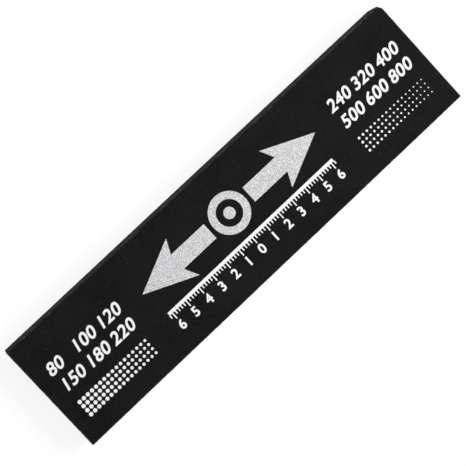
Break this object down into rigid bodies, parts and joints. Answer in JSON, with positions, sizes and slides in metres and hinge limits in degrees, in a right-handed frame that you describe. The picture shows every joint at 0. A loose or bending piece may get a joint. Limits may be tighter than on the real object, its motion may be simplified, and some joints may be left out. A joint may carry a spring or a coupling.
{
  "type": "sanding block",
  "caption": "Flexible foam rubber sanding block: a long flat slab that backs abrasive paper, bends along its length to follow curved panels and springs straight again.",
  "frame": {"origin": "middle of the sanding face, which is the broad face without print and the face that the block lies on", "axes": "+X along the length, +Y across the width, +Z out of the printed face"},
  "size_m": [0.2794, 0.0682, 0.0286],
  "materials": {
    "eva_foam": "matte",
    "print_ink": "matte"
  },
  "bodies": {
    "centre": {"foam_centre": "eva_foam", "flex_zone_inner_left": "eva_foam", "flex_zone_inner_right": "eva_foam"},
    "middle_left": {"foam_middle_left": "eva_foam", "flex_zone_outer_left": "eva_foam"},
    "middle_right": {"foam_middle_right": "eva_foam", "flex_zone_outer_right": "eva_foam"},
    "end_left": {"foam_end_left": "eva_foam"},
    "end_right": {"foam_end_right": "eva_foam"}
  },
  "joints": [
    {"name": "bend_inner_left", "type": "hinge", "parent": "centre", "child": "middle_left", "pos_m": [-0.02794, 0, 0.0143], "axis": [0, 1, 0], "range_deg": [-8, 8], "stiffness_Nm_per_rad": 19, "deforming": ["flex_zone_inner_left"]},
    {"name": "bend_outer_left", "type": "hinge", "parent": "middle_left", "child": "end_left", "pos_m": [-0.08382, 0, 0.0143], "axis": [0, 1, 0], "range_deg": [-8, 8], "stiffness_Nm_per_rad": 19, "deforming": ["flex_zone_outer_left"]},
    {"name": "bend_inner_right", "type": "hinge", "parent": "centre", "child": "middle_right", "pos_m": [0.02794, 0, 0.0143], "axis": [0, -1, 0], "range_deg": [-8, 8], "stiffness_Nm_per_rad": 19, "deforming": ["flex_zone_inner_right"]},
    {"name": "bend_outer_right", "type": "hinge", "parent": "middle_right", "child": "end_right", "pos_m": [0.08382, 0, 0.0143], "axis": [0, -1, 0], "range_deg": [-8, 8], "stiffness_Nm_per_rad": 19, "deforming": ["flex_zone_outer_right"]}
  ]
}
